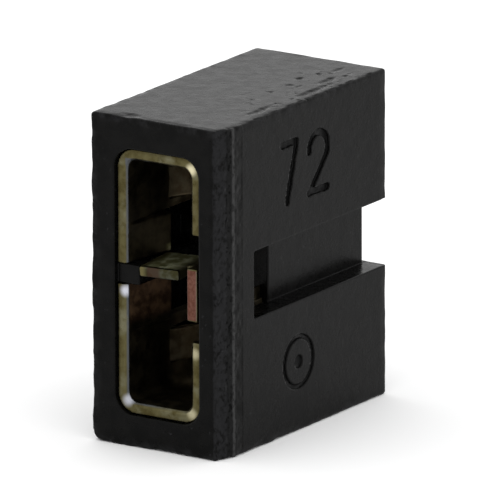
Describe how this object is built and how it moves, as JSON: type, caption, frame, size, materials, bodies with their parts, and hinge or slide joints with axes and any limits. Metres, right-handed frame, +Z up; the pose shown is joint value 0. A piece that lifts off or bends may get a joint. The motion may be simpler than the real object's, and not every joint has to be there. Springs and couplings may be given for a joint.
{
  "type": "jumper shunt",
  "caption": "Two-way jumper shunt: a black moulded housing round one formed metal contact that bridges a pair of square header posts.",
  "frame": {"origin": "middle of the lower end face, on which the part stands", "axes": "+Z up along the pitch of the two posts, -Y out of the mating face where the posts go in, +X out of the wide side face that has the cavity number"},
  "size_m": [0.0024, 0.0044, 0.0051],
  "materials": {
    "black_plastic": "black moulded plastic, satin gloss",
    "plated_strip": "pale gold plated spring strip with bare copper-red sheared edge"
  },
  "bodies": {
    "root": {"housing": "black_plastic", "contact": "plated_strip"}
  },
  "joints": []
}
